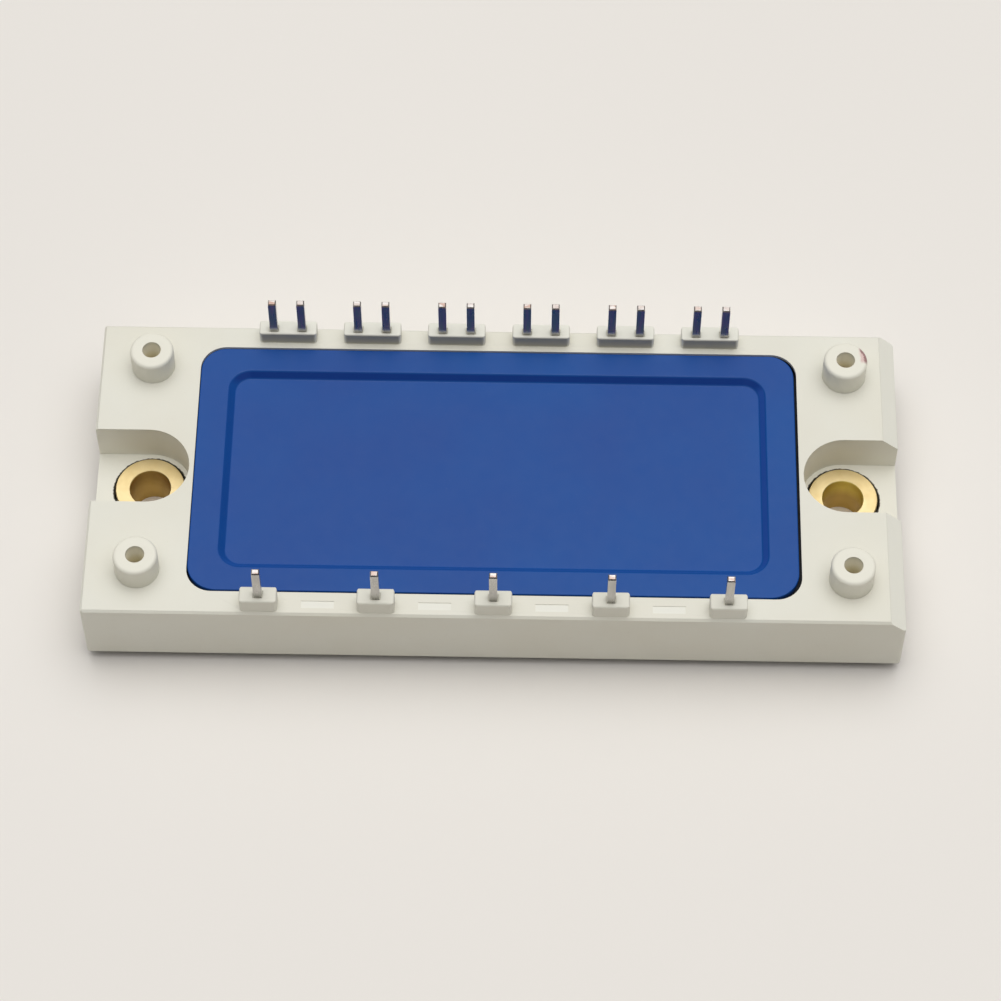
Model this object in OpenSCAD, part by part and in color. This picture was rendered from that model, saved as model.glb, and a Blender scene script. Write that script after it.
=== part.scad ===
// Solder-pin IGBT power module: six switches in one flat housing with a metal base plate.
// Millimetres, +Z up. The origin is the middle of the base plate's mounting face.
// +X runs along the length, towards the end with the chamfered top edge.
// +Y points to the row of paired control pins, -Y to the row of single power pins.

/* [Housing frame] */
// Length of the housing frame
frame_l = 107.5; // [106.6:0.1:109]
// Width of the housing frame
frame_w = 45; // [44.4:0.1:46]
// Height of the frame's top face above the mounting face
frame_top = 12.25; // [12:0.05:12.8]
// Gap between the mounting face and the frame's lower edge
frame_gap = 1.7; // [1.2:0.1:2.2]
// Radius of the frame's upright corners
corner_r = 0.5; // [0.3:0.1:1]
// Small bevel round the frame's top face
edge_bevel = 0.3; // [0.15:0.05:0.4]
// Run of the chamfer on the +X end, along the length
end_chamfer_l = 2.2; // [1.8:0.1:2.6]
// Fall of the chamfer on the +X end
end_chamfer_h = 2.1; // [1.6:0.1:2.6]
// Thickness of the silicone bead between frame and base plate
bead_t = 0.2; // [0.1:0.05:0.3]
// Width of the bead's flat bands
bead_w = 2; // [1.2:0.1:2.4]

/* [Base plate] */
// Distance of the base plate's ends from the frame's ends
plate_inset_l = 1.55; // [1.2:0.05:1.9]
// Distance of the base plate's sides from the frame's sides
plate_inset_w = 1.5; // [1.2:0.05:1.8]
// Thickness of the base plate
plate_t = 3; // [2.7:0.1:3.2]
// Radius of the base plate's corners
plate_r = 1.5; // [0.5:0.1:2.5]
// Distance of a mounting screw from the frame's end
screw_inset = 7.25; // [6.95:0.05:7.55]
// Diameter of the mounting screw holes
screw_d = 5.4; // [5.2:0.1:5.8]

/* [Screw pockets] */
// Width of the open-ended pocket round each mounting screw
pocket_w = 11.3; // [10.9:0.1:11.7]
// Height of the pocket floor above the mounting face
pocket_floor = 6; // [5.6:0.1:6.4]
// Outer diameter of the brass bush in each pocket
bush_d = 9.3; // [9:0.1:9.6]
// Height by which the bush stands above the pocket floor
bush_proud = 0.5; // [0.2:0.05:0.7]
// Bevel on the bush's edges
bush_bevel = 0.1; // [0.05:0.05:0.2]

/* [Board standoffs] */
// Distance of a standoff from the frame's end
standoff_inset_l = 7.1; // [6.9:0.05:7.3]
// Distance of a standoff from the frame's long side
standoff_inset_w = 6.5; // [6.2:0.1:6.8]
// Diameter of a standoff
standoff_d = 5.85; // [5.6:0.05:6.2]
// Height of a standoff above the frame's top face
standoff_h = 3.75; // [3.2:0.05:4.2]
// Edge radius round the top of a standoff
standoff_edge_r = 0.5; // [0.3:0.05:0.7]
// Diameter of the blind screw hole in a standoff
standoff_hole_d = 2.5; // [2.2:0.05:2.8]
// Depth of the blind screw hole
standoff_hole_depth = 9; // [7:0.5:10]

/* [Lid] */
// Web between a screw pocket and the lid opening
pocket_web = 0.6; // [0.5:0.05:0.8]
// Width of the frame's long rails beside the lid opening
rail_w = 3.35; // [3.25:0.05:3.5]
// Corner radius of the lid opening
opening_r = 3.4; // [2.8:0.1:3.8]
// Width of the ledge that the lid lies on
lid_ledge = 2.1; // [1.6:0.1:2.3]
// Clearance round the lid
lid_clear = 0.2; // [0.18:0.02:0.3]
// Corner radius of the lid
lid_r = 3.4; // [3.2:0.1:3.8]
// Thickness of the lid
lid_t = 1.3; // [1.1:0.05:1.5]
// Depth of the lid's top face below the frame's top face
lid_drop = 0.2; // [0.1:0.05:0.4]
// Shift of the lid in its opening, along the length
lid_shift_x = -0.14; // [-0.16:0.01:0.16]
// Shift of the lid in its opening, across the width
lid_shift_y = 0.14; // [-0.16:0.01:0.16]
// Width of the lid's rim round the sunken panel, at its ends
rim_end = 3.85; // [3.4:0.05:4.2]
// Width of the lid's rim round the sunken panel, at its long sides
rim_side = 3.5; // [3.2:0.05:3.8]
// Depth of the sunken panel
panel_depth = 0.9; // [0.6:0.05:1]
// Width of the slope down to the panel
panel_slope = 0.9; // [0.7:0.05:1.1]
// Corner radius of the panel at the top of its slope
panel_r = 3; // [2.4:0.1:3.6]

/* [Pins] */
// Grid that the pins stand on
grid = 3.81; // [3.78:0.01:3.84]
// Distance of a pin row from the frame's long side
pin_inset = 1.55; // [1.5:0.05:1.65]
// Width of a pin along the rows
pin_w = 1.05; // [0.9:0.05:1.3]
// Thickness of the pin strip
pin_t = 0.9; // [0.7:0.05:1]
// Height of the pin tips above the mounting face
pin_top = 20.45; // [20:0.05:21]
// Bevel round the pin tips
tip_bevel = 0.15; // [0.05:0.05:0.2]
// Height of the shelf that the pins' bonding feet lie on
shelf_z = 5.2; // [5:0.1:5.6]
// Width of the shelf that the feet lie on
shelf_w = 3.35; // [3.2:0.05:3.5]
// Width of the same shelf at the ends
shelf_end_w = 0.85; // [0.6:0.05:1.1]
// Length of shelf left bare beyond the tip of each foot
foot_setback = 0.5; // [0.3:0.1:0.8]
// Width of the power pins' bonding feet
power_foot_w = 3.2; // [2.8:0.1:3.6]
// Bend radius inside the corner of a pin
bend_r = 0.3; // [0.2:0.05:0.5]

/* [Pin blocks] */
// Length of the block round each power pin
power_block_l = 4.9; // [4.5:0.1:5.3]
// Width of the block round each power pin
power_block_w = 2.4; // [2.2:0.1:2.5]
// Height of the block round each power pin
power_block_h = 2.45; // [2:0.05:2.8]
// Length of the block round each pair of control pins
pair_block_l = 7.8; // [7.4:0.1:8.2]
// Width of the block round each pair of control pins
pair_block_w = 2.3; // [2.2:0.1:2.4]
// Height of the block round each pair of control pins
pair_block_h = 2.1; // [1.8:0.05:2.4]
// Outward shift of the paired blocks from the line of their pins
pair_block_shift = 0.17; // [0.12:0.05:0.22]
// Corner radius of a block seen from above
block_corner_r = 0.55; // [0.3:0.05:0.7]
// Edge radius round the top of a block
block_edge_r = 0.3; // [0.15:0.05:0.4]
// Gap round a pin in the small dimple at its root
dimple_gap = 0.15; // [0.1:0.05:0.25]
// Depth of the dimple
dimple_depth = 0.3; // [0.2:0.05:0.5]
// Length of the shallow fields between the power pins
field_l = 4.3; // [3.8:0.1:4.8]
// Width of the shallow fields
field_w = 1.1; // [0.9:0.1:1.4]
// Depth of the shallow fields
field_depth = 0.1; // [0.05:0.05:0.2]

/* [Circuit inside] */
// Clearance between the outer tiles and the ends of the cavity
tile_end_clear = 1.1; // [0.6:0.1:1.4]
// Clearance between the tiles and the sides of the cavity
tile_side_clear = 0.6; // [0.4:0.1:0.9]
// Gap between neighbouring tiles
tile_gap = 1; // [0.6:0.1:1.2]
// Thickness of the ceramic
ceramic_t = 0.38; // [0.3:0.02:0.5]
// Thickness of the copper on each side of the ceramic
copper_t = 0.3; // [0.2:0.05:0.4]
// Ceramic left bare round the copper
copper_margin = 0.8; // [0.6:0.1:1]
// Gap between copper tracks
track_gap = 0.7; // [0.5:0.1:0.9]
// Width of a gate or sense track
track_w = 1.1; // [0.9:0.1:1.2]
// Thickness of the solder under each tile
tile_solder_t = 0.15; // [0.1:0.05:0.2]
// Thickness of the solder under each chip
chip_solder_t = 0.1; // [0.05:0.05:0.15]
// Side of a transistor chip
igbt_side = 7; // [6.4:0.1:7.2]
// Side of a diode chip
diode_side = 5; // [4.6:0.1:5.4]
// Thickness of the chips
chip_t = 0.2; // [0.15:0.05:0.3]
// Diameter of the thick bond wires
wire_d = 0.3; // [0.25:0.05:0.4]
// Diameter of the thin gate and sense wires
gate_wire_d = 0.2; // [0.15:0.05:0.25]
// Rise of the bond wires' loops above their higher end
wire_rise = 0.45; // [0.4:0.05:0.5]
// Height of the gel fill above the mounting face
gel_top = 8.6; // [8.2:0.1:9.2]

/* [Hidden] */
$fn = 48;
eps = 0.01;

plate_l = frame_l - 2 * plate_inset_l;
plate_w = frame_w - 2 * plate_inset_w;
screw_x = frame_l / 2 - screw_inset;
standoff_x = frame_l / 2 - standoff_inset_l;
standoff_y = frame_w / 2 - standoff_inset_w;
row_y = frame_w / 2 - pin_inset;
opening_l = 2 * screw_x - pocket_w - 2 * pocket_web;
opening_w = frame_w - 2 * rail_w;
ledge_l = opening_l - 2 * lid_ledge;
ledge_w = opening_w - 2 * lid_ledge;
ledge_r = 2;
cavity_l = ledge_l - 2 * shelf_end_w;
cavity_w = ledge_w - 2 * shelf_w;
cavity_r = 1.5;

power_count = 5;
pair_count = 6;
tile_count = 3;
power_pitch = 4 * grid;
pair_pitch = 3 * grid;

plate_clear = 0.2;
bush_clear = 0.25;
bead_inset = 0.6;
bead_hole_gap = 0.4;
frame_floor = plate_t + bead_t;
foot_neck = 1;
core_roof = 1.8;
core_wall = 1.5;
core_boss_d = 5.4;
core_rib = 1.2;
core_x0 = screw_x - pocket_w / 2 + core_wall;
core_l = plate_l / 2 - bead_w - core_x0;
core_y0 = pocket_w / 2 + core_wall;
core_w = plate_w / 2 - bead_w - core_y0;

lid_top = frame_top - lid_drop;
lid_seat = lid_top - lid_t;
lid_l = opening_l - 2 * lid_clear;
lid_w = opening_w - 2 * lid_clear;

tile_l = (cavity_l - 2 * tile_end_clear - (tile_count - 1) * tile_gap) / tile_count;
tile_w = cavity_w - 2 * tile_side_clear;
tile_pitch = tile_l + tile_gap;
tile_z = plate_t + tile_solder_t;
ceramic_z = tile_z + copper_t;
top_copper_z = ceramic_z + ceramic_t;
chip_solder_z = top_copper_z + copper_t;
chip_z = chip_solder_z + chip_solder_t;
chip_top = chip_z + chip_t;
chip_stack = chip_top - chip_solder_z;
foot_top = shelf_z + pin_t;
foot_tip = cavity_w / 2 + foot_setback;

// Half sizes of the copper area on a tile, and the levels of its tracks.
pad_x = tile_l / 2 - copper_margin;
pad_y = tile_w / 2 - copper_margin;
outer_track_y = pad_y - track_w / 2;
inner_track_y = outer_track_y - track_w - track_gap / 2;
main_pad_top = inner_track_y - track_w / 2 - track_gap;
strip_w = 2.7;
strip_y = -pad_y + strip_w / 2;
strip_pad_low = strip_y + strip_w / 2 + track_gap;
half_pad_l = pad_x - track_gap / 2;
chip_x = pad_x - half_pad_l / 2;

// The two chips of a half tile share its main pad, with three equal strips of copper left bare.
chip_gap = (main_pad_top - strip_pad_low - igbt_side - diode_side) / 3;
igbt_y = main_pad_top - chip_gap - igbt_side / 2;
diode_y = strip_pad_low + chip_gap + diode_side / 2;

// Places where wires are bonded, from the middle of the chip, strip or foot that they lie on.
chip_loop_rise = 1.4;
foot_bond_y = foot_tip + 1.8;
igbt_bond = 1.5;
diode_bond = 1;
gate_bond_x = 2.4;
gate_bond_y = 2.6;
cross_bond_x = 1.4;
cross_bond_y = 0.6;
cross_land_x = 1.2;
strip_bond = 0.4;
strip_pin_bond = 0.7;
chip_wire_step = [1.2, 0, 0];
cross_wire_step = [0, 0.9, 0];
foot_wire_step = [0.8, 0, 0];
chip_wires = 4;
cross_wires = 3;
foot_row_reach = (chip_wires - 1) / 2 * foot_wire_step.x + wire_d;

// Overlong reach of a cutting shape past the face that it opens.
over = 1;

function centred(count, pitch) = [for (i = [0 : count - 1]) (i - (count - 1) / 2) * pitch];
power_xs = centred(power_count, power_pitch);
pair_xs = centred(pair_count, pair_pitch);
control_xs = [for (x = pair_xs, side = [-1, 1]) x + side * grid / 2];
tile_xs = centred(tile_count, tile_pitch);
function numbered(name, count) = [for (i = [1 : count]) str(name, "_", i)];

// ---------- shared shapes ----------

// Rectangle centred on the origin, with round corners.
module rounded_rect(l, w, r) {
    union() {
        square([l, w - 2 * r], center = true);
        square([l - 2 * r, w], center = true);
        for (x = [-1, 1], y = [-1, 1])
            translate([x * (l / 2 - r), y * (w / 2 - r)]) circle(r);
    }
}

// Upright prism of a rounded rectangle between two heights.
module slab(l, w, r, z0, z1) {
    translate([0, 0, z0]) linear_extrude(z1 - z0) rounded_rect(l, w, r);
}

// Upright plane shape of width l and height h, with its two upper corners rounded.
module arched(l, h, r) {
    union() {
        translate([-l / 2, 0]) square([l, h - r]);
        translate([-l / 2 + r, 0]) square([l - 2 * r, h]);
        for (x = [-1, 1]) translate([x * (l / 2 - r), h - r]) circle(r);
    }
}

// Block that stands on z = 0, round at its upright corners and along its top edges.
module soft_block(l, w, h) {
    intersection() {
        linear_extrude(h) rounded_rect(l, w, block_corner_r);
        rotate([90, 0, 0]) translate([0, 0, -w / 2]) linear_extrude(w) arched(l, h, block_edge_r);
        rotate([90, 0, 90]) translate([0, 0, -l / 2]) linear_extrude(l) arched(w, h, block_edge_r);
    }
}

// Places its children at both mounting screws.
module at_screws() {
    for (side = [-1, 1]) translate([side * screw_x, 0, 0]) children();
}

// Places its children at the four board standoffs.
module at_standoffs() {
    for (x = [-1, 1], y = [-1, 1])
        translate([x * standoff_x, y * standoff_y, 0]) children();
}

// ---------- base plate and its bead ----------

module base_plate() {
    color([0.78, 0.78, 0.76]) difference() {
        slab(plate_l, plate_w, plate_r, 0, plate_t);
        at_screws() translate([0, 0, -over]) cylinder(d = screw_d, h = plate_t + 2 * over);
    }
}

// Areas of the base plate that the bead leaves dry: the cavity, the cores and the screws.
module bead_gaps() {
    rounded_rect(cavity_l + 2 * bead_hole_gap, cavity_w + 2 * bead_hole_gap, cavity_r + bead_hole_gap);
    at_screws() circle(d = bush_d + 2 * bush_clear + 2 * bead_hole_gap);
    for (x = [-1, 1], y = [-1, 1]) scale([x, y]) translate([core_x0, core_y0])
        translate([-bead_hole_gap, -bead_hole_gap])
            square([core_l + 2 * bead_hole_gap, core_w + 2 * bead_hole_gap]);
}

module base_bead() {
    color([0.93, 0.93, 0.9]) translate([0, 0, plate_t]) linear_extrude(bead_t) difference() {
        rounded_rect(plate_l - 2 * bead_inset, plate_w - 2 * bead_inset, plate_r);
        bead_gaps();
    }
}

// ---------- housing frame ----------

// Cores in the frame's end blocks, open towards the base plate, with a rib across each.
module end_cores() {
    for (x = [-1, 1], y = [-1, 1]) scale([x, y, 1]) difference() {
        translate([core_x0, core_y0, frame_floor - eps])
            cube([core_l, core_w, frame_top - core_roof - frame_floor]);
        translate([standoff_x, standoff_y, 0]) {
            cylinder(d = core_boss_d, h = frame_top);
            translate([-core_rib / 2, -core_w, 0]) cube([core_rib, 2 * core_w, frame_top]);
        }
    }
}

// Open-ended pocket round a screw, reaching out past the end of the frame.
module screw_pocket(side) {
    reach = frame_l / 2;
    translate([side * screw_x, 0, pocket_floor]) {
        cylinder(d = pocket_w, h = frame_top);
        translate([side > 0 ? 0 : -reach, -pocket_w / 2, 0]) cube([reach, pocket_w, frame_top]);
    }
}

// Bevel round the frame's top edge, as four long wedges to be cut away.
module top_bevel() {
    side = edge_bevel * sqrt(2);
    for (y = [-1, 1]) translate([-frame_l, y * frame_w / 2, frame_top])
        rotate([45, 0, 0]) translate([0, -side / 2, -side / 2]) cube([2 * frame_l, side, side]);
    translate([-frame_l / 2, -frame_w, frame_top])
        rotate([0, 45, 0]) translate([-side / 2, 0, -side / 2]) cube([side, 2 * frame_w, side]);
}

// Wedge cut from the top edge at the +X end.
module end_chamfer() {
    translate([frame_l / 2, frame_w, frame_top]) rotate([90, 0, 0]) linear_extrude(2 * frame_w)
        polygon([[-end_chamfer_l, 0], [0, -end_chamfer_h], [over, -end_chamfer_h - over],
                 [over, over], [-end_chamfer_l - over, over]]);
}

// Standoff that starts below the frame's top face, so that the two are one.
module standoff_body() {
    r = standoff_d / 2;
    h = standoff_h + over;
    translate([0, 0, frame_top - over]) rotate_extrude() intersection() {
        translate([0, -over]) arched(2 * r, h + over, standoff_edge_r);
        square([r, h]);
    }
}

module pin_blocks() {
    for (x = power_xs) translate([x, -row_y, frame_top - over])
        soft_block(power_block_l, power_block_w, power_block_h + over);
    for (x = pair_xs) translate([x, row_y + pair_block_shift, frame_top - over])
        soft_block(pair_block_l, pair_block_w, pair_block_h + over);
}

// Small rectangular dimple round a pin, cut down from a block's top face.
module dimple(top) {
    l = pin_w + 2 * dimple_gap;
    w = pin_t + 2 * dimple_gap;
    translate([-l / 2, -w / 2, top - dimple_depth]) cube([l, w, over]);
}

// Shallow fields on the rail between the power pins.
module rail_fields() {
    for (i = [1 : power_count - 1]) translate([(power_xs[i - 1] + power_xs[i]) / 2, -row_y, frame_top])
        cube([field_l, field_w, 2 * field_depth], center = true);
}

module housing_frame() {
    color([0.9, 0.89, 0.84]) difference() {
        union() {
            difference() {
                slab(frame_l, frame_w, corner_r, frame_gap, frame_top);
                top_bevel();
                end_chamfer();
            }
            at_standoffs() standoff_body();
            pin_blocks();
        }
        slab(plate_l + 2 * plate_clear, plate_w + 2 * plate_clear, plate_r + plate_clear,
             frame_gap - over, frame_floor);
        slab(opening_l, opening_w, opening_r, lid_seat, frame_top + over);
        slab(ledge_l, ledge_w, ledge_r, shelf_z, lid_seat + eps);
        slab(cavity_l, cavity_w, cavity_r, frame_floor - eps, shelf_z + eps);
        end_cores();
        for (side = [-1, 1]) screw_pocket(side);
        at_screws() cylinder(d = bush_d + 2 * bush_clear, h = frame_top);
        at_standoffs() translate([0, 0, frame_top + standoff_h - standoff_hole_depth])
            cylinder(d = standoff_hole_d, h = standoff_hole_depth + over);
        rail_fields();
        for (x = power_xs) {
            translate([x, -row_y, 0]) dimple(frame_top + power_block_h);
            at_power_pin(x) power_pin_shape();
        }
        for (x = control_xs) {
            translate([x, row_y, 0]) dimple(frame_top + pair_block_h);
            at_control_pin(x) control_pin_shape();
        }
    }
}

// ---------- lid ----------

// Lid with a sunken panel: the slope round the panel is the same above and below.
module lid() {
    top_l = lid_l - 2 * rim_end;
    top_w = lid_w - 2 * rim_side;
    panel_l = top_l - 2 * panel_slope;
    panel_w = top_w - 2 * panel_slope;
    color([0.2, 0.36, 0.62]) translate([lid_shift_x, lid_shift_y, 0]) difference() {
        union() {
            slab(lid_l, lid_w, lid_r, lid_seat, lid_top);
            panel_well(top_l, top_w, panel_l, panel_w, lid_seat - panel_depth, lid_seat + eps);
        }
        panel_well(top_l, top_w, panel_l, panel_w, lid_top - panel_depth, lid_top + eps);
    }
}

// Shallow well with sloping sides, wide at its top.
module panel_well(top_l, top_w, low_l, low_w, z0, z1) {
    skin = 0.001;
    hull() {
        slab(top_l, top_w, panel_r, z1 - skin, z1);
        slab(low_l, low_w, panel_r - panel_slope, z0, z0 + skin);
    }
}

// ---------- bushes ----------

module screw_bush(side) {
    r_in = screw_d / 2;
    r_out = bush_d / 2;
    h = pocket_floor + bush_proud - plate_t;
    color([0.85, 0.68, 0.4]) translate([side * screw_x, 0, plate_t]) rotate_extrude()
        polygon([[r_in, 0], [r_out, 0], [r_out, h - bush_bevel], [r_out - bush_bevel, h],
                 [r_in + bush_bevel, h], [r_in, h - bush_bevel]]);
}

// ---------- pins ----------

// Side view of a bent pin: the leg stands at 0, the foot runs to the right.
module pin_profile() {
    outer_r = bend_r + pin_t;
    foot_l = row_y - foot_tip;
    difference() {
        union() {
            translate([-pin_t / 2, shelf_z]) square([pin_t, pin_top - shelf_z]);
            translate([-pin_t / 2, shelf_z]) square([foot_l + pin_t / 2, pin_t]);
            translate([pin_t / 2, shelf_z + pin_t]) square(bend_r);
        }
        translate([pin_t / 2 + bend_r, shelf_z + pin_t + bend_r]) circle(bend_r);
        translate([-pin_t / 2, shelf_z]) difference() {
            translate([-over, -over]) square(outer_r + over);
            translate([outer_r, outer_r]) circle(outer_r);
        }
    }
}

// Leg and foot of one width, with the tip's edges bevelled.
module bent_strip(width) {
    tip = tip_bevel * sqrt(2);
    difference() {
        rotate([90, 0, 90]) translate([0, 0, -width / 2]) linear_extrude(width) pin_profile();
        for (y = [-1, 1]) translate([-width, y * pin_t / 2, pin_top]) rotate([45, 0, 0])
            translate([0, -tip / 2, -tip / 2]) cube([2 * width, tip, tip]);
        for (x = [-1, 1]) translate([x * width / 2, -pin_t, pin_top]) rotate([0, 45, 0])
            translate([-tip / 2, 0, -tip / 2]) cube([tip, 2 * pin_t, tip]);
    }
}

module control_pin_shape() {
    bent_strip(pin_w);
}

// A power pin's foot is wider than its leg, for several bond wires.
module power_pin_shape() {
    foot_in = pin_t / 2 + bend_r + foot_neck;
    foot_l = row_y - foot_tip - foot_in;
    union() {
        bent_strip(pin_w);
        translate([-power_foot_w / 2, foot_in, shelf_z]) cube([power_foot_w, foot_l, pin_t]);
    }
}

module at_power_pin(x) {
    translate([x, -row_y, 0]) children();
}

module at_control_pin(x) {
    translate([x, row_y, 0]) mirror([0, 1, 0]) children();
}

module power_pin(i) {
    color([0.8, 0.79, 0.77]) at_power_pin(power_xs[i - 1]) power_pin_shape();
}

module control_pin(i) {
    color([0.8, 0.79, 0.77]) at_control_pin(control_xs[i - 1]) control_pin_shape();
}

// ---------- ceramic tiles ----------

module at_tile(i) {
    translate([tile_xs[i - 1], 0, 0]) children();
}

module tile_sheet(margin, z, t) {
    translate([0, 0, z]) linear_extrude(t)
        square([tile_l - 2 * margin, tile_w - 2 * margin], center = true);
}

module tile_solder(i) {
    color([0.6, 0.6, 0.62]) at_tile(i) tile_sheet(copper_margin, plate_t, tile_solder_t);
}

module tile_bottom_copper(i) {
    color([0.75, 0.45, 0.3]) at_tile(i) tile_sheet(copper_margin, tile_z, copper_t);
}

module tile_ceramic(i) {
    color([0.95, 0.95, 0.93]) at_tile(i) tile_sheet(0, ceramic_z, ceramic_t);
}

// Copper tracks of one half tile, drawn for the +X half.
module half_tracks(low_y) {
    x0 = track_gap / 2;
    translate([x0, low_y]) square([half_pad_l, main_pad_top - low_y]);
    for (y = [outer_track_y, inner_track_y])
        translate([x0, y - track_w / 2]) square([half_pad_l, track_w]);
}

module top_tracks() {
    half_tracks(strip_pad_low);
    translate([track_gap / 2, strip_y - strip_w / 2]) square([half_pad_l, strip_w]);
    mirror([1, 0]) half_tracks(-pad_y);
}

module tile_top_copper(i) {
    color([0.75, 0.45, 0.3]) at_tile(i) translate([0, 0, top_copper_z])
        linear_extrude(copper_t) top_tracks();
}

// ---------- chips ----------

// Square pad of a chip, or of the solder under it.
module chip_block(x, y, side, z, t) {
    translate([x, y, z]) linear_extrude(t) square(side, center = true);
}

module chip_solder(i) {
    color([0.6, 0.6, 0.62]) at_tile(i) for (side = [-1, 1]) {
        chip_block(side * chip_x, igbt_y, igbt_side, chip_solder_z, chip_solder_t);
        chip_block(side * chip_x, diode_y, diode_side, chip_solder_z, chip_solder_t);
    }
}

// Chips are counted two to a tile: odd ones on its left half, even ones on its right half.
function chip_tile(k) = ceil(k / 2);
function chip_side(k) = k % 2 == 1 ? -1 : 1;

module igbt_chip(k) {
    color([0.35, 0.36, 0.4]) at_tile(chip_tile(k))
        chip_block(chip_side(k) * chip_x, igbt_y, igbt_side, chip_z, chip_t);
}

module diode_chip(k) {
    color([0.45, 0.45, 0.48]) at_tile(chip_tile(k))
        chip_block(chip_side(k) * chip_x, diode_y, diode_side, chip_z, chip_t);
}

// ---------- bond wires ----------

// Distance along a loop's run from its start to its crown, for a circular loop whose crown is
// fall_a above its start and fall_b above its end.
function crown_at(run, fall_a, fall_b) =
    let (k = 1 - fall_b / fall_a)
    abs(k) < 0.001 ? run / 2
        : (run - sqrt(run * run - k * (run * run - fall_a * fall_b + fall_b * fall_b))) / k;

// Wire loop from a to b, both points on the surfaces that it is bonded to: one circular arc in
// an upright plane, with its crown at the given rise above the higher end.
module wire(a, b, rise, d) {
    run = norm([b.x - a.x, b.y - a.y]);
    fall_a = max(a.z, b.z) + rise - a.z;
    fall_b = max(a.z, b.z) + rise - b.z;
    crown = crown_at(run, fall_a, fall_b);
    r = (crown * crown + fall_a * fall_a) / (2 * fall_a);
    turn_a = atan2(r - fall_a, -crown);
    turn_b = atan2(r - fall_b, run - crown);
    translate([a.x, a.y, a.z + fall_a - r + d / 2]) rotate([0, 0, atan2(b.y - a.y, b.x - a.x)])
        translate([crown, 0, 0]) rotate([90, 0, 0]) rotate([0, 0, turn_b])
            rotate_extrude(angle = turn_a - turn_b) translate([r, 0]) circle(d = d, $fn = 16);
}

// Row of equal wires, side by side along step.
module wire_row(a, b, rise, step, count) {
    for (k = [0 : count - 1]) {
        shift = (k - (count - 1) / 2) * step;
        wire(a + shift, b + shift, rise, wire_d);
    }
}

// Wires of one switch on the half tile at the given side.
module switch_wires(side) {
    x = side * chip_x;
    gate_y = igbt_y + gate_bond_y;
    wire_row([x, igbt_y - igbt_bond, chip_top], [x, diode_y + diode_bond, chip_top],
             chip_loop_rise, chip_wire_step, chip_wires);
    wire([x + gate_bond_x, gate_y, chip_top], [x + gate_bond_x, outer_track_y, chip_solder_z],
         chip_loop_rise / 2, gate_wire_d);
    wire([x - gate_bond_x, gate_y, chip_top], [x - gate_bond_x, inner_track_y, chip_solder_z],
         chip_loop_rise / 2, gate_wire_d);
}

// Wires that stay on one tile: both switches, the left diode's to the right half and the right
// diode's to the strip.
module tile_wires() {
    cross_y = diode_y - cross_bond_y;
    for (side = [-1, 1]) switch_wires(side);
    wire_row([cross_bond_x - chip_x, cross_y, chip_top], [cross_land_x, cross_y, chip_solder_z],
             chip_loop_rise, cross_wire_step, cross_wires);
    wire_row([chip_x, diode_y - diode_bond, chip_top], [chip_x, strip_y + strip_bond, chip_solder_z],
             chip_loop_rise, chip_wire_step, chip_wires);
}

function tile_of(x) = [for (k = [0 : tile_count - 1]) if (abs(x - tile_xs[k]) <= tile_pitch / 2) k + 1][0];

// Place along a tile where wires from a pin at x land: on a half tile's copper, by their reach
// from its edges, and as near to the pin as that allows.
function landing(x, tile_x, reach) =
    let (out = abs(x - tile_x), side = x < tile_x ? -1 : 1)
    tile_x + side * min(max(out, track_gap / 2 + reach), pad_x - reach);

// Wires from the pins' feet to the tile under them.
module pin_wires(i) {
    for (k = [0 : 2 * pair_count - 1]) if (tile_of(control_xs[k]) == i) {
        x = control_xs[k];
        land = landing(x, tile_xs[i - 1], gate_wire_d);
        track = k % 2 == 0 ? outer_track_y : inner_track_y;
        wire([x, foot_bond_y, foot_top], [land, track, chip_solder_z], wire_rise, gate_wire_d);
    }
    for (x = power_xs) if (tile_of(x) == i) {
        land = landing(x, tile_xs[i - 1], foot_row_reach);
        wire_row([x, -foot_bond_y, foot_top], [land, strip_y - strip_pin_bond, chip_solder_z],
                 wire_rise, foot_wire_step, chip_wires);
    }
}

module bond_wires(i) {
    color([0.85, 0.85, 0.87]) {
        at_tile(i) tile_wires();
        pin_wires(i);
    }
}

// ---------- gel ----------

module silicone_gel() {
    color([0.85, 0.9, 0.95, 0.4]) difference() {
        union() {
            slab(cavity_l, cavity_w, cavity_r, plate_t, shelf_z + eps);
            slab(ledge_l, ledge_w, ledge_r, shelf_z, gel_top);
        }
        for (i = [1 : tile_count]) at_tile(i) {
            tile_sheet(copper_margin, plate_t, tile_solder_t + copper_t + eps);
            tile_sheet(0, ceramic_z, ceramic_t);
            translate([0, 0, top_copper_z - eps]) linear_extrude(copper_t + eps) top_tracks();
        }
        for (i = [1 : tile_count]) {
            at_tile(i) for (side = [-1, 1]) {
                chip_block(side * chip_x, igbt_y, igbt_side, chip_solder_z - eps, chip_stack + eps);
                chip_block(side * chip_x, diode_y, diode_side, chip_solder_z - eps, chip_stack + eps);
            }
            bond_wires(i);
        }
        for (i = [1 : power_count]) power_pin(i);
        for (i = [1 : 2 * pair_count]) control_pin(i);
    }
}

base_plate();
base_bead();
housing_frame();
lid();
screw_bush(-1);  // screw_bush_left
screw_bush(1);  // screw_bush_right
for (i = [1 : power_count])
    power_pin(i);
for (i = [1 : 2 * pair_count])
    control_pin(i);
for (i = [1 : tile_count]) {
    tile_solder(i);
    tile_bottom_copper(i);
    tile_ceramic(i);
    tile_top_copper(i);
    chip_solder(i);
    bond_wires(i);
}
for (k = [1 : 2 * tile_count]) {
    igbt_chip(k);
    diode_chip(k);
}
silicone_gel();
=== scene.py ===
"""Looks of the solder-pin power module: materials, softened edges, floor, light and camera.

Lengths are millimetres until they are multiplied by MM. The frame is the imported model's own.
"""

import math

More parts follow.
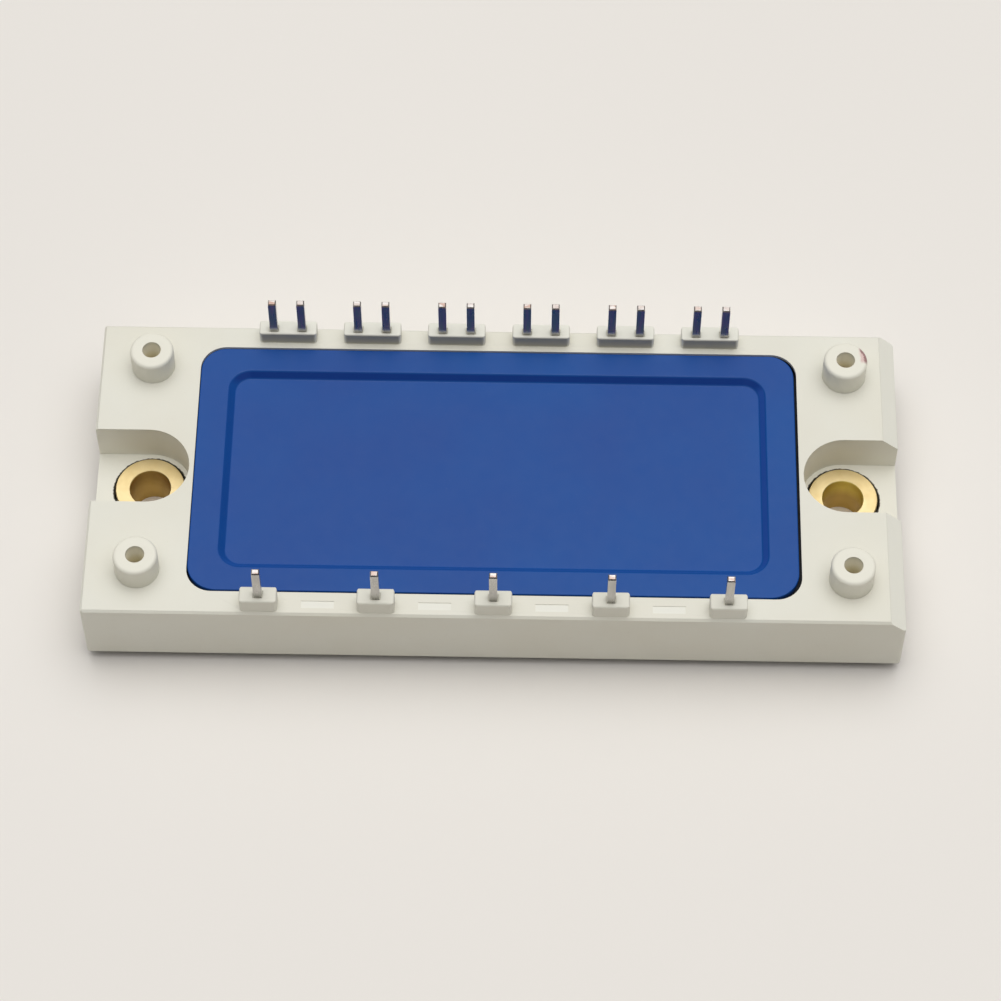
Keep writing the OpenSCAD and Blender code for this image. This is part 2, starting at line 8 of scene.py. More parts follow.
import bmesh
import bpy
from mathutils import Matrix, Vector


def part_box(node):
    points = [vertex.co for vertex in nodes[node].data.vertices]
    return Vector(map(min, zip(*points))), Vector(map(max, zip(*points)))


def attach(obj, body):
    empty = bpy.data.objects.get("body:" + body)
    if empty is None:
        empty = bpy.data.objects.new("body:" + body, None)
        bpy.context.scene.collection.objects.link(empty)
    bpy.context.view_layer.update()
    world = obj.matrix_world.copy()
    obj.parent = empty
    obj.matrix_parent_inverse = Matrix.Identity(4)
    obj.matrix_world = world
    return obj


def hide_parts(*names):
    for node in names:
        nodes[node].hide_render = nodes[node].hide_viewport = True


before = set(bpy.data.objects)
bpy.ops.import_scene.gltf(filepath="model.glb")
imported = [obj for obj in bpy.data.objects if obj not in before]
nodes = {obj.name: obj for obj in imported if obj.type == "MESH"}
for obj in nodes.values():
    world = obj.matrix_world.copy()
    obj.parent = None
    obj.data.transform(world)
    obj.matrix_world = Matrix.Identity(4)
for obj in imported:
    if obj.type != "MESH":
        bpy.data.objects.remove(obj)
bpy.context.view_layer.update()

MM = 0.001


def middle(node, axis):
    """Middle of a CAD node's box along one axis, in millimetres."""
    low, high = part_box(node)
    return (low[axis] + high[axis]) / 2 / MM


def highest(node):
    """Height of a CAD node's top, in millimetres."""
    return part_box(node)[1].z / MM


# ---------- places on the model: read from the CAD nodes, or as the part's source has them ----------

STANDOFF_X = 46.65
STANDOFF_Y = 16.0
STANDOFF_R = 2.925
STANDOFF_HEIGHT = 3.75
STANDOFF_HOLE_R = 1.25
STANDOFF_TOP = highest("housing_frame")
FRAME_TOP = STANDOFF_TOP - STANDOFF_HEIGHT
FRAME_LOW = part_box("housing_frame")[0].z / MM
BASE_TOP = 3.0

SCREW_X = middle("screw_bush_right", 0)
BORE_R = 2.7
BUSH_HOLE_R = 4.9
POCKET_R = 5.65
POCKET_FLOOR = 6.0

CHAMFER_X = 51.55
CHAMFER_RUN = 2.2
CHAMFER_FALL = 2.1

PIN_XS = [middle(name, 0) for name in nodes if "_pin_" in name]
PIN_ROW_Y = 20.95
PIN_HALF_T = 0.45
PIN_TOP = highest("control_pin_1")
PAIR_FACE_Y = 19.97
PAIR_BLOCK_TOP = FRAME_TOP + 2.1
FIELD_HALF_W = 0.55
FIELD_DEPTH = 0.1

OPENING_X = 40.25
OPENING_Y = 19.15

# ---------- sizes of the lid: each pair of radii is for the back and the front corners ----------

LID_TOP = highest("lid")
LID_CLEAR = 0.2
LID_THICK = 1.3
LID_RADII = (3.4, 3.9)
RIM_END = 3.85
RIM_SIDE = 3.5
PANEL_DEPTH = 0.9
PANEL_SLOPE = 0.9
PANEL_RADII = (3.0, 3.0)
PANEL_X = OPENING_X - LID_CLEAR - RIM_END - PANEL_SLOPE
PANEL_Y = OPENING_Y - LID_CLEAR - RIM_SIDE - PANEL_SLOPE

# Roundings that the CAD lid doesn't have: of its outer edge, and of the bends at the panel's slope.
LID_EDGE_R = 0.15
LID_BEND_R = 0.3

# ---------- painted shade that two materials share: the screw bores darker low down ---

BORE_SHADE = (0.6, 0.42, 0.13)


# ---------- node graphs ----------

class Material:
    """A Principled material, with short calls for the nodes that feed it."""

    def __init__(self, name, **sockets):
        self.data = bpy.data.materials.new(name)
        self.data.use_nodes = True
        self.tree = self.data.node_tree
        self.tree.nodes.clear()
        output = self.node("ShaderNodeOutputMaterial")
        self.shader = self.node("ShaderNodeBsdfPrincipled")
        self.link(self.shader.outputs["BSDF"], output.inputs["Surface"])
        for socket, value in sockets.items():
            self.shader.inputs[socket.replace("_", " ")].default_value = value
        scaled = self.node("ShaderNodeVectorMath")
        scaled.operation = "SCALE"
        scaled.inputs["Scale"].default_value = 1 / MM
        self.link(self.node("ShaderNodeTexCoord").outputs["Object"], scaled.inputs[0])
        self.place = scaled.outputs[0]
        split = self.node("ShaderNodeSeparateXYZ")
        self.link(self.place, split.inputs[0])
        self.x, self.y, self.z = split.outputs
        self.bumps = None

    def node(self, kind):
        return self.tree.nodes.new(kind)

    def link(self, source, target):
        self.tree.links.new(source, target)

    def feed(self, target, value):
        """Sets an input to a plain value, or links it to another node's output."""
        if isinstance(value, bpy.types.NodeSocket):
            self.link(value, target)
        else:
            target.default_value = value

    def set(self, socket, value):
        self.feed(self.shader.inputs[socket], value)

    def math(self, operation, *values):
        n = self.node("ShaderNodeMath")
        n.operation = operation
        for target, value in zip(n.inputs, values):
            self.feed(target, value)
        return n.outputs[0]

    def remap(self, value, low, high, out_low=0.0, out_high=1.0):
        """Takes value from low..high to out_low..out_high, held at both ends."""
        n = self.node("ShaderNodeMapRange")
        for target, v in zip(n.inputs, (value, low, high, out_low, out_high)):
            self.feed(target, v)
        return n.outputs[0]

    def fade(self, value, full, gone):
        """Mask that is 1 up to full and falls to 0 at gone."""
        return self.remap(value, full, gone, 1, 0)

    def both(self, *masks):
        """Product of several masks."""
        total = masks[0]
        for mask in masks[1:]:
            total = self.math("MULTIPLY", total, mask)
        return total

    def band(self, value, start, full, last, gone):
        """Mask that rises from start to full and falls again from last to gone."""
        return self.both(self.remap(value, start, full), self.fade(value, last, gone))

    def noise(self, size, detail, stretch=(1, 1, 1)):
        """Noise with blotches about size millimetres across, drawn out along an axis by stretch."""
        mapping = self.node("ShaderNodeMapping")
        self.link(self.place, mapping.inputs["Vector"])
        mapping.inputs["Scale"].default_value = [1 / (size * s) for s in stretch]
        n = self.node("ShaderNodeTexNoise")
        self.link(mapping.outputs[0], n.inputs["Vector"])
        n.inputs["Scale"].default_value = 1.0
        n.inputs["Detail"].default_value = detail
        n.inputs["Roughness"].default_value = 0.55
        return n.outputs[0]

    def mix(self, share, first, second):
        """Blend of two colours, each a plain one or another node's output."""
        n = self.node("ShaderNodeMix")
        n.data_type = "RGBA"
        self.feed(n.inputs[0], share)
        for target, colour in ((n.inputs[6], first), (n.inputs[7], second)):
            self.feed(target, colour if isinstance(colour, bpy.types.NodeSocket) else (*colour, 1))
        return n.outputs[2]

    def distance(self, x, y, centre_x, centre_y):
        """Distance in millimetres of (x, y) from the upright line through the centre."""
        dx = self.math("SUBTRACT", x, centre_x)
        dy = self.math("SUBTRACT", y, centre_y)
        squares = self.math("ADD", self.math("MULTIPLY", dx, dx), self.math("MULTIPLY", dy, dy))
        return self.math("SQRT", squares)

    def side_x(self):
        """Distance from the middle plane x = 0, so that both ends are painted alike."""
        return self.math("ABSOLUTE", self.x)

    def side_y(self):
        """Distance from the middle plane y = 0, so that both long sides are painted alike."""
        return self.math("ABSOLUTE", self.y)

    def from_standoff(self):
        """Distance from the axis of the nearest standoff."""
        return self.distance(self.side_x(), self.side_y(), STANDOFF_X, STANDOFF_Y)

    def from_screw(self):
        """Distance from the axis of the nearer mounting screw."""
        return self.distance(self.side_x(), self.y, SCREW_X, 0)

    def bump(self, height, depth):
        """Adds a relief of the given depth in millimetres to the ones that are there."""
        n = self.node("ShaderNodeBump")
        n.inputs["Strength"].default_value = 1.0
        n.inputs["Distance"].default_value = depth * MM
        self.link(height, n.inputs["Height"])
        if self.bumps:
            self.link(self.bumps, n.inputs["Normal"])
        self.bumps = n.outputs[0]
        self.link(self.bumps, self.shader.inputs["Normal"])


def paint(material, *names):
    """Gives a material to every CAD node whose name starts with one of names."""
    for name, obj in nodes.items():
        if name.startswith(names):
            obj.data.materials.clear()
            obj.data.materials.append(material.data)


# ---------- the frame's plastic ----------

def frame_plastic():
    """Warm white glass-filled plastic: fine matt grain, faint flow marks, tones by place, and painted
    light and shade on some faces.
    """
    m = Material("frame_plastic", Specular_IOR_Level=0.3)
    clean = (0.82, 0.808, 0.72)
    warm = (0.8, 0.777, 0.675)
    colour = m.mix(m.remap(m.noise(16, 3), 0.35, 0.7), clean, warm)
    specks = m.remap(m.noise(0.35, 2), 0.66, 0.74, 0, 0.35)
    colour = m.mix(specks, colour, (0.74, 0.71, 0.61))
    # The marks by place: the plastic's own fields and pen stroke, and painted light and shade on walls,
    # tops, faces, holes, the lid's seam and the bush gaps.
    for mark in (walls_painted_light, tops_painted_light, rail_fields, faces_painted_shade,
                 holes_painted_light, seam_painted_shade, bush_gap_painted_shade, pen_mark):
        colour = mark(m, colour)
    m.set("Base Color", colour)
    m.set("Roughness", m.remap(m.noise(1.2, 4), 0.3, 0.7, 0.44, 0.58))
    m.bump(m.noise(0.12, 3), 0.006)
    m.bump(m.noise(2.5, 2), 0.012)
    return m


def walls_painted_light(m, colour):
    """Painted light: paler standoffs and pocket walls."""
    standoff = m.both(m.fade(m.from_standoff(), STANDOFF_R + 0.175, STANDOFF_R + 0.475),
                      m.remap(m.z, FRAME_TOP, FRAME_TOP + 0.4))
    pocket = m.both(m.remap(m.side_x(), SCREW_X - POCKET_R - 0.15, SCREW_X - POCKET_R - 0.1),
                    m.fade(m.side_y(), POCKET_R + 0.05, POCKET_R + 0.1),
                    m.band(m.z, POCKET_FLOOR + 0.05, POCKET_FLOOR + 0.15,
                           FRAME_TOP - 0.4, FRAME_TOP - 0.1))
    return m.mix(m.math("ADD", standoff, pocket), colour, (0.87, 0.85, 0.745))


def tops_painted_light(m, colour):
    """Painted light: paler tops of the paired blocks, and a paler chamfer on the +X end."""
    blocks = m.both(m.remap(m.y, OPENING_Y, OPENING_Y + 0.1),
                    m.band(m.z, PAIR_BLOCK_TOP - 0.25, PAIR_BLOCK_TOP - 0.05,
                           PAIR_BLOCK_TOP, PAIR_BLOCK_TOP + 0.1))
    chamfer_low = FRAME_TOP - CHAMFER_FALL
    # The sum is 1 on the chamfer's plane and less below it, which leaves the faces beside it out.
    across = m.math("ADD", m.remap(m.x, CHAMFER_X, CHAMFER_X + CHAMFER_RUN),
                    m.remap(m.z, chamfer_low, FRAME_TOP))
    chamfer = m.both(m.remap(across, 0.93, 0.97), m.remap(m.x, CHAMFER_X, CHAMFER_X + 0.2),
                     m.remap(m.z, chamfer_low, chamfer_low + 0.1))
    return m.mix(m.math("ADD", blocks, chamfer), colour, (0.88, 0.87, 0.78))


def rail_fields(m, colour):
    """Paler floors of the shallow fields between the power pins."""
    off_row = m.math("ABSOLUTE", m.math("ADD", m.y, PIN_ROW_Y))
    on_row = m.fade(off_row, FIELD_HALF_W + 0.01, FIELD_HALF_W + 0.03)
    field_floor = FRAME_TOP - FIELD_DEPTH
    on_floor = m.band(m.z, field_floor - 0.02, field_floor - 0.01,
                      field_floor + 0.03, field_floor + 0.05)
    return m.mix(m.both(on_row, on_floor), colour, (0.85, 0.84, 0.76))


def faces_painted_shade(m, colour):
    """Painted shade: greyer faces of the paired blocks towards the lid, and a greyer underside of the
    frame.
    """
    near_face = m.band(m.y, PAIR_FACE_Y - 0.1, PAIR_FACE_Y - 0.05,
                       PAIR_FACE_Y + 0.02, PAIR_FACE_Y + 0.1)
    raised = m.remap(m.z, FRAME_TOP + 0.1, FRAME_TOP + 0.25)
    colour = m.mix(m.both(near_face, raised), colour, (0.56, 0.52, 0.4))
    # Painted shade under the frame's lower edge.
    underside = m.fade(m.z, FRAME_LOW + 0.02, FRAME_LOW + 0.06)
    return m.mix(underside, colour, (0.3, 0.29, 0.25))


def holes_painted_light(m, colour):
    """Painted light in the standoffs' blind screw holes: paler upper walls, which turn browner with
    their depth.
    """
    inside = m.fade(m.from_standoff(), STANDOFF_HOLE_R + 0.02, STANDOFF_HOLE_R + 0.06)
    below_rim = m.fade(m.z, STANDOFF_TOP - 0.8, STANDOFF_TOP - 0.1)
    colour = m.mix(m.both(inside, below_rim), colour, (0.99, 0.95, 0.82))
    deep = m.fade(m.z, STANDOFF_TOP - 3.2, STANDOFF_TOP - 1.8)
    return m.mix(m.both(inside, deep), colour, (0.92, 0.85, 0.64))


def seam_painted_shade(m, colour):
    """Painted shade in the seam round the lid: dark on the ledge and the lower part of the opening's
    wall.
    """
    within = m.both(m.fade(m.side_x(), OPENING_X + 0.1, OPENING_X + 0.12),
                    m.fade(m.side_y(), OPENING_Y + 0.1, OPENING_Y + 0.12))
    low = m.fade(m.z, LID_TOP - 0.35, LID_TOP - 0.15)
    return m.mix(m.both(within, low), colour, (0.012, 0.012, 0.016))


def bush_gap_painted_shade(m, colour):
    """Painted shade: a dark, uneven line on the pocket floor along the gap round each bush."""
    wobble = m.remap(m.noise(0.5, 2), 0.3, 0.7, -0.07, 0.07)
    line = m.fade(m.math("ADD", m.from_screw(), wobble), BUSH_HOLE_R + 0.1, BUSH_HOLE_R + 0.18)
    low = m.fade(m.z, POCKET_FLOOR + 0.02, POCKET_FLOOR + 0.06)
    return m.mix(m.both(line, low), colour, (0.05, 0.045, 0.03))


def pen_mark(m, colour):
    """Red pen stroke on one standoff: a dark arc along its edge and a pale smudge inside it."""
    around = m.distance(m.x, m.y, STANDOFF_X, STANDOFF_Y)
    wobble = m.remap(m.noise(0.6, 2), 0.3, 0.7, -0.18, 0.18)
    ring = m.math("ADD", around, wobble)
    high = m.remap(m.z, STANDOFF_TOP - 0.6, STANDOFF_TOP - 0.3)
    side = m.remap(m.x, STANDOFF_X + 1.7, STANDOFF_X + 2.1)
    span = m.band(m.y, STANDOFF_Y - 0.6, STANDOFF_Y - 0.1, STANDOFF_Y + 1.8, STANDOFF_Y + 2.3)
    smudge = m.both(high, side, span, m.band(ring, 1.8, 2.1, 2.6, 2.9))
    stroke = m.both(high, side, span, m.band(ring, 2.42, 2.54, 2.9, 3.05))
    colour = m.mix(m.math("MULTIPLY", smudge, 0.45), colour, (0.62, 0.22, 0.26))
    return m.mix(m.math("MULTIPLY", stroke, 0.72), colour, (0.2, 0.05, 0.06))


# ---------- the other materials ----------

def lid_plastic():
    """Blue moulded lid: satin, fine spark-eroded grain, slight tone shifts, and painted light and shade
    on the panel's slopes by side.
    """
    m = Material("lid_plastic", Specular_IOR_Level=0.25)
    colour = m.mix(m.remap(m.noise(22, 2), 0.35, 0.7), (0.008, 0.066, 0.305), (0.004, 0.076, 0.33))
    # Painted light and shade: the slopes paler at the right and the front, darker at the back.
    slope = m.band(m.z, LID_TOP - 0.8, LID_TOP - 0.7, LID_TOP - 0.2, LID_TOP - 0.1)
    right = m.remap(m.x, PANEL_X - 0.8, PANEL_X)
    front = m.fade(m.y, 0.05 - PANEL_Y, 1.05 - PANEL_Y)
    back = m.remap(m.y, PANEL_Y - 1.05, PANEL_Y - 0.05)
    colour = m.mix(m.both(slope, right), colour, (0.018, 0.078, 0.36))
    colour = m.mix(m.both(slope, front), colour, (0.014, 0.085, 0.37))
    colour = m.mix(m.both(slope, back), colour, (0.004, 0.043, 0.25))
    dust = m.remap(m.noise(0.5, 2), 0.7, 0.78, 0, 0.05)
    m.set("Base Color", m.mix(dust, colour, (0.2, 0.28, 0.45)))
    m.set("Roughness", m.remap(m.noise(1.5, 4), 0.3, 0.7, 0.36, 0.46))
    m.bump(m.noise(0.15, 3), 0.005)
    return m


def turned_brass():
    """Brass bushes: fine turning rings on their faces, and painted light and shade in the bores: the
    left bore browner than the right, both darker low down.
    """
    m = Material("bush_brass", Metallic=1.0)
    ring = m.from_screw()
    bore = m.fade(ring, BORE_R + 0.03, BORE_R + 0.1)
    face = m.mix(m.remap(m.noise(2.5, 2), 0.35, 0.7), (0.73, 0.59, 0.32), (0.67, 0.52, 0.26))
    # Painted light and shade: the right bore lighter, the left one darker.
    inner = m.mix(m.remap(m.x, -1, 1), (0.5, 0.34, 0.1), (0.84, 0.69, 0.16))
    inner = m.mix(m.fade(m.z, BASE_TOP, BASE_TOP + 2), inner, BORE_SHADE)
    m.set("Base Color", m.mix(bore, face, inner))
    m.set("Roughness", m.remap(m.noise(0.8, 3), 0.3, 0.7, 0.38, 0.5))
    groove_pitch = 0.15
    grooves = m.math("SINE", m.math("MULTIPLY", ring, 2 * math.pi / groove_pitch))
    m.bump(grooves, 0.0012)
    return m


def tinned_pin():
    """Tinned copper pins, drawn lengthwise: a brownish painted reflection, with less metal, on the back
    pins' faces towards the lid; bare cut tips.
    """
    m = Material("tinned_copper")
    drawn = m.remap(m.noise(0.8, 3, stretch=(1, 1, 5)), 0.35, 0.7)
    tin = m.mix(drawn, (0.56, 0.55, 0.52), (0.46, 0.45, 0.43))
    streaks = m.remap(m.noise(0.4, 2, stretch=(1, 1, 8)), 0.4, 0.6)
    # Painted reflection: a brownish tone on the back pins' faces towards the lid.
    lid_side_reflection = m.mix(streaks, (0.62, 0.36, 0.34), (0.52, 0.42, 0.3))
    near_face = PIN_ROW_Y - PIN_HALF_T
    to_lid = m.both(m.band(m.y, 0, 1, near_face + 0.01, near_face + 0.05),
                    m.remap(m.z, PAIR_BLOCK_TOP + 0.5, PAIR_BLOCK_TOP + 1.1))
    tin = m.mix(to_lid, tin, lid_side_reflection)
    m.set("Metallic", m.remap(to_lid, 0, 1, 1, 0.9))
    cut = m.remap(m.z, PIN_TOP - 0.1, PIN_TOP - 0.05)
    sheared = m.remap(m.noise(0.5, 2, stretch=(4, 1, 1)), 0.44, 0.56)
    bare = m.mix(m.remap(m.noise(5, 1), 0.44, 0.56), (0.44, 0.31, 0.26), (0.5, 0.44, 0.41))
    copper = m.mix(sheared, bare, (0.6, 0.57, 0.55))
    m.set("Base Color", m.mix(cut, tin, copper))
    m.set("Roughness", m.remap(m.noise(0.5, 3, stretch=(1, 1, 6)), 0.3, 0.7, 0.24, 0.4))
    m.bump(m.noise(0.3, 2, stretch=(1, 1, 12)), 0.002)
    return m


def plated_base():
    """Nickel-plated copper base plate: ground mounting face, painted shade on its darker sides and top
    under the frame, brown screw holes painted as shade.
    """
    m = Material("plated_copper", Metallic=1.0)
    face = m.mix(m.remap(m.noise(6, 3), 0.3, 0.7), (0.62, 0.61, 0.59), (0.5, 0.49, 0.47))
    # Painted shade: the sides and top, under the frame, are darker than the ground face.
    above_face = m.remap(m.z, 0.02, 0.06)
    face = m.mix(above_face, face, (0.3, 0.285, 0.26))
    hole = m.fade(m.from_screw(), BORE_R + 0.02, BORE_R + 0.05)
    m.set("Base Color", m.mix(hole, face, BORE_SHADE))
    m.set("Roughness", m.remap(m.noise(1.0, 4, stretch=(12, 1, 1)), 0.3, 0.7, 0.3, 0.5))
    m.bump(m.noise(0.15, 3, stretch=(20, 1, 1)), 0.003)
    return m


def silicone_sealant():
    m = Material("white_silicone", Roughness=0.45)
    m.set("Base Color", m.mix(m.noise(1.5, 3), (0.8, 0.79, 0.75), (0.72, 0.71, 0.67)))
    m.bump(m.noise(0.8, 2), 0.03)
    return m


def bare_copper():
    m = Material("bare_copper", Metallic=1.0, Roughness=0.35)
    tarnish = m.remap(m.noise(1.5, 4), 0.35, 0.7)
    m.set("Base Color", m.mix(tarnish, (0.83, 0.44, 0.27), (0.66, 0.3, 0.18)))
    m.bump(m.noise(0.1, 3), 0.003)
    return m


def alumina():
    m = Material("alumina", Roughness=0.6)
    m.set("Base Color", m.mix(m.noise(0.4, 3), (0.86, 0.86, 0.83), (0.79, 0.79, 0.76)))
    m.bump(m.noise(0.08, 3), 0.003)
    return m


def solder():
    m = Material("solder", Metallic=1.0, Roughness=0.4)
    m.set("Base Color", m.mix(m.noise(0.6, 4), (0.5, 0.5, 0.52), (0.34, 0.34, 0.36)))
    m.bump(m.noise(0.3, 3), 0.01)
    return m


def chip_silicon():
    """Chips with a mottled grey metal coat."""
    m = Material("chip_silicon", Metallic=0.8, Roughness=0.3)
    mottle = m.remap(m.noise(0.7, 3), 0.3, 0.7)
    m.set("Base Color", m.mix(mottle, (0.3, 0.31, 0.34), (0.2, 0.21, 0.25)))
    m.bump(m.noise(0.05, 2), 0.001)
    return m


def bond_aluminium():
    m = Material("bond_aluminium", Metallic=1.0, Roughness=0.3)
    m.set("Base Color", m.mix(m.noise(0.3, 3), (0.86, 0.86, 0.87), (0.7, 0.7, 0.72)))
    m.bump(m.noise(0.05, 2), 0.001)
    return m


def clear_gel():
    m = Material("clear_gel", Roughness=0.08, Transmission_Weight=0.9, IOR=1.41)
    m.set("Base Color", m.mix(m.noise(5, 2), (0.9, 0.94, 0.96), (0.84, 0.9, 0.93)))
    m.bump(m.noise(3, 2), 0.02)
    return m


# ---------- pieces ----------

def smooth_object(name, mesh, material):
    """Turns a finished mesh into a smooth-shaded object of one material."""
    data = bpy.data.meshes.new(name)
    mesh.to_mesh(data)
    mesh.free()
    data.materials.append(material.data)
    for face in data.polygons:
        face.use_smooth = True
    obj = bpy.data.objects.new(name, data)
    bpy.context.scene.collection.objects.link(obj)
    return obj


def weigh_normals(piece):
    """Keeps large faces flat to the eye beside their rounded edges. It is the last modifier."""
    weighted = piece.modifiers.new("normals", "WEIGHTED_NORMAL")
    weighted.weight = 90


# ---------- the frame, softened ----------

def frame_edge(x, y, z):
    """Share of the full rounding that an edge of the frame gets, by where it lies."""
    nearest_pin = min(abs(x - pin) for pin in PIN_XS)
    in_dimple = abs(y) > PIN_ROW_Y - 0.8 and z > FRAME_TOP + 1 and nearest_pin < 0.9
    in_opening = abs(x) < OPENING_X + 0.1 and abs(y) < OPENING_Y + 0.1
    raised = z > FRAME_TOP + 0.5
    if in_dimple:
        return 0
    if in_opening:
        return 0.3
    return 0.4 if raised else 1


def softened(node, width, segments, share, material):
    """A copy of a CAD node that stands in for it, its edges rounded by share(x, y, z) of width."""
    sharp = math.radians(35)
    mesh = bmesh.new()
    mesh.from_mesh(nodes[node].data)
    bmesh.ops.remove_doubles(mesh, verts=mesh.verts, dist=1e-6)
    weight = mesh.edges.layers.float.new("bevel_weight_edge")
    for edge in mesh.edges:
        if edge.calc_face_angle(0) > sharp:
            centre = (edge.verts[0].co + edge.verts[1].co) / 2 / MM
            edge[weight] = share(*centre)
    piece = smooth_object(node + "_soft", mesh, material)
    bevel = piece.modifiers.new("edges", "BEVEL")
    bevel.width = width * MM
    bevel.segments = segments
    bevel.limit_method = "WEIGHT"
    bevel.miter_outer = "MITER_ARC"
    weigh_normals(piece)
    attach(piece, "root")
    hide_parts(node)


# ---------- the lid, moulded ----------

def arc(start, end, centre, radius, steps=4):
    """Points (inset, height) on a quarter or part circle, between two angles in degrees."""
    turns = [math.radians(start + (end - start) * k / steps) for k in range(steps + 1)]
    return [(centre[0] + radius * math.cos(t), centre[1] + radius * math.sin(t)) for t in turns]


def rounded_ring(mesh, half_l, half_w, radii, inset, z, steps=12):
    """Closed ring of vertices: a rounded rectangle drawn in by inset, at height z."""
    ring = []
    for corner in range(4):
        r = radii[corner // 2] - inset
        cx = (half_l - inset - r) * (1, -1, -1, 1)[corner]
        cy = (half_w - inset - r) * (1, 1, -1, -1)[corner]
        for k in range(steps + 1):
            t = math.radians(90 * (corner + k / steps))
            x, y = cx + r * math.cos(t), cy + r * math.sin(t)
            ring.append(mesh.verts.new((x * MM, y * MM, z * MM)))
    return ring


def bridge(mesh, a, b):
    """Faces between two rings that have the same number of vertices."""
    for k in range(len(a)):
        j = (k + 1) % len(a)
        mesh.faces.new((a[k], a[j], b[j], b[k]))


def moulded_lid(material):
    """Lid with a sunken panel: the CAD lid's form, its edges and the slope's two bends rounded."""
    low, high = (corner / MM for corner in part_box("lid"))
    half_l, half_w = (high.x - low.x) / 2, (high.y - low.y) / 2
    slope = math.atan2(PANEL_DEPTH, PANEL_SLOPE)
    lean = math.degrees(slope)
    reach = LID_BEND_R * math.tan(slope / 2)
    outer = [(LID_EDGE_R, LID_TOP - LID_THICK), (0, LID_TOP - LID_THICK + LID_EDGE_R)]
    outer += arc(180, 90, (LID_EDGE_R, LID_TOP - LID_EDGE_R), LID_EDGE_R)
    well = arc(90, 90 - lean, (-reach, -LID_BEND_R), LID_BEND_R)
    well += arc(270 - lean, 270, (PANEL_SLOPE + reach, LID_BEND_R - PANEL_DEPTH), LID_BEND_R)
    under = [(PANEL_SLOPE, -PANEL_DEPTH - LID_THICK), (0, -LID_THICK)]

    mesh = bmesh.new()
    panel = (half_l - RIM_END, half_w - RIM_SIDE, PANEL_RADII)
    rings = [rounded_ring(mesh, half_l, half_w, LID_RADII, inset, z) for inset, z in outer]
    rings += [rounded_ring(mesh, *panel, inset, LID_TOP + z) for inset, z in well]
    below = [rounded_ring(mesh, *panel, inset, LID_TOP + z) for inset, z in under]
    for a, b in zip(rings, rings[1:]):
        bridge(mesh, a, b)
    bridge(mesh, below[0], below[1])
    bridge(mesh, below[1], rings[0])
    mesh.faces.new(rings[-1])
    mesh.faces.new(list(reversed(below[0])))
    centre = ((low.x + high.x) / 2 * MM, (low.y + high.y) / 2 * MM, 0)
    bmesh.ops.translate(mesh, verts=mesh.verts, vec=centre)
    bmesh.ops.recalc_face_normals(mesh, faces=mesh.faces)

    piece = smooth_object("lid_moulded", mesh, material)
    weigh_normals(piece)
    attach(piece, "root")
    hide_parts("lid")


# ---------- build ----------

plastic = frame_plastic()
blue = lid_plastic()

paint(plastic, "housing_frame")
paint(blue, "lid")
paint(turned_brass(), "screw_bush")
paint(tinned_pin(), "power_pin", "control_pin")
paint(plated_base(), "base_plate")
paint(silicone_sealant(), "base_bead")
paint(bare_copper(), "tile_bottom_copper", "tile_top_copper")
paint(alumina(), "tile_ceramic")
paint(solder(), "tile_solder", "chip_solder")
paint(chip_silicon(), "igbt_chip", "diode_chip")
paint(bond_aluminium(), "bond_wires")
paint(clear_gel(), "silicone_gel")

softened("housing_frame", width=0.35, segments=3, share=frame_edge,
         material=plastic)
moulded_lid(material=blue)


# ---------- floor, light and camera ----------

def floor(half, z):
    """Pale studio table top."""
    mesh = bmesh.new()
    bmesh.ops.create_grid(mesh, x_segments=8, y_segments=8, size=half * MM)
    data = bpy.data.meshes.new("floor")
    mesh.to_mesh(data)
    mesh.free()
    obj = bpy.data.objects.new("floor", data)
    obj.location.z = z * MM
    bpy.context.scene.collection.objects.link(obj)
    m = Material("floor_paper", Roughness=0.75)
    blotches = m.remap(m.noise(180, 1), 0.35, 0.65)
    m.set("Base Color", m.mix(blotches, (0.875, 0.84, 0.795), (0.86, 0.825, 0.78)))
    data.materials.append(m.data)


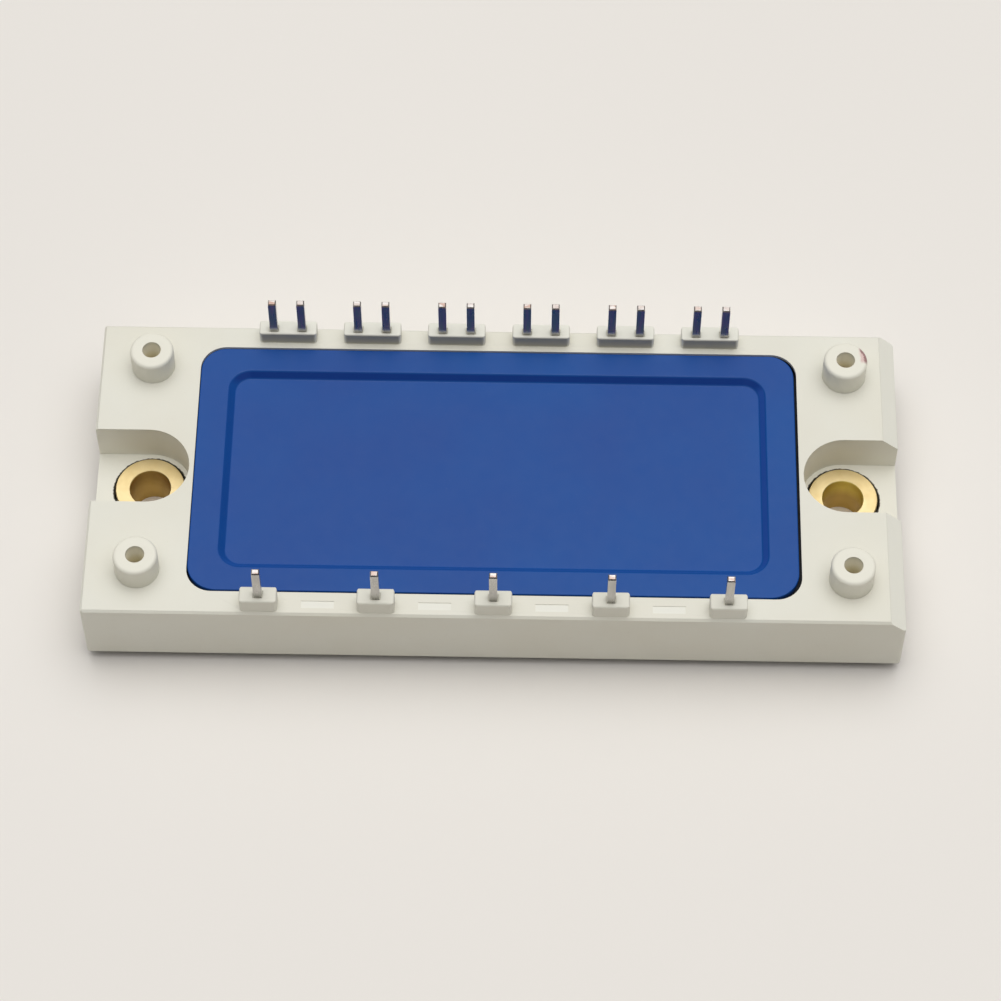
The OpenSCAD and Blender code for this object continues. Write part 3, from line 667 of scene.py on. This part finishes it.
def studio_world(toward, base, glow, power, tint, backdrop):
    """Soft light from a wide glow round one direction of the sky, over a dim even base.

    The camera sees a plain pale backdrop instead.
    """
    world = bpy.data.worlds.new("studio")
    world.use_nodes = True
    tree = world.node_tree
    tree.nodes.clear()
    new, link = tree.nodes.new, tree.links.new

    def step(operation, *values):
        n = new("ShaderNodeMath")
        n.operation = operation
        for target, value in zip(n.inputs, values):
            if isinstance(value, bpy.types.NodeSocket):
                link(value, target)
            else:
                target.default_value = value
        return n.outputs[0]

    facing = new("ShaderNodeVectorMath")
    facing.operation = "DOT_PRODUCT"
    link(new("ShaderNodeTexCoord").outputs["Generated"], facing.inputs[0])
    facing.inputs[1].default_value = Vector(toward).normalized()
    lobe = step("POWER", step("MAXIMUM", facing.outputs["Value"], 0.0), power)
    strength = step("ADD", step("MULTIPLY", lobe, glow), base)
    light = new("ShaderNodeBackground")
    light.inputs["Color"].default_value = (*tint, 1)
    link(strength, light.inputs["Strength"])
    seen = new("ShaderNodeBackground")
    seen.inputs["Color"].default_value = (*backdrop, 1)
    choose = new("ShaderNodeMixShader")
    link(new("ShaderNodeLightPath").outputs["Is Camera Ray"], choose.inputs[0])
    link(light.outputs[0], choose.inputs[1])
    link(seen.outputs[0], choose.inputs[2])
    link(choose.outputs[0], new("ShaderNodeOutputWorld").inputs["Surface"])
    bpy.context.scene.world = world


def photo_camera(target, azimuth, elevation, distance, lens):
    """Camera that looks at the target from an azimuth, where 0 looks along +Y, and an elevation."""
    a, e = math.radians(azimuth), math.radians(elevation)
    back = Vector((math.sin(a) * math.cos(e), -math.cos(a) * math.cos(e), math.sin(e)))
    data = bpy.data.cameras.new("photo_camera")
    data.lens = lens
    data.clip_start, data.clip_end = 0.01, 20
    obj = bpy.data.objects.new("photo_camera", data)
    obj.location = (Vector(target) + back * distance) * MM
    obj.rotation_euler = (-back).to_track_quat("-Z", "Y").to_euler()
    bpy.context.scene.collection.objects.link(obj)
    bpy.context.scene.camera = obj


floor(half=3000, z=-0.02)
studio_world(toward=(0.05, 0.12, 1), base=0.015, glow=3.2, power=5,
             tint=(1, 0.995, 0.985), backdrop=(0.8, 0.77, 0.73))
photo_camera(target=(0.63, -3.27, 10), azimuth=1.010, elevation=58.378, distance=477.1, lens=129.04)

bpy.context.scene.view_settings.view_transform = "Standard"
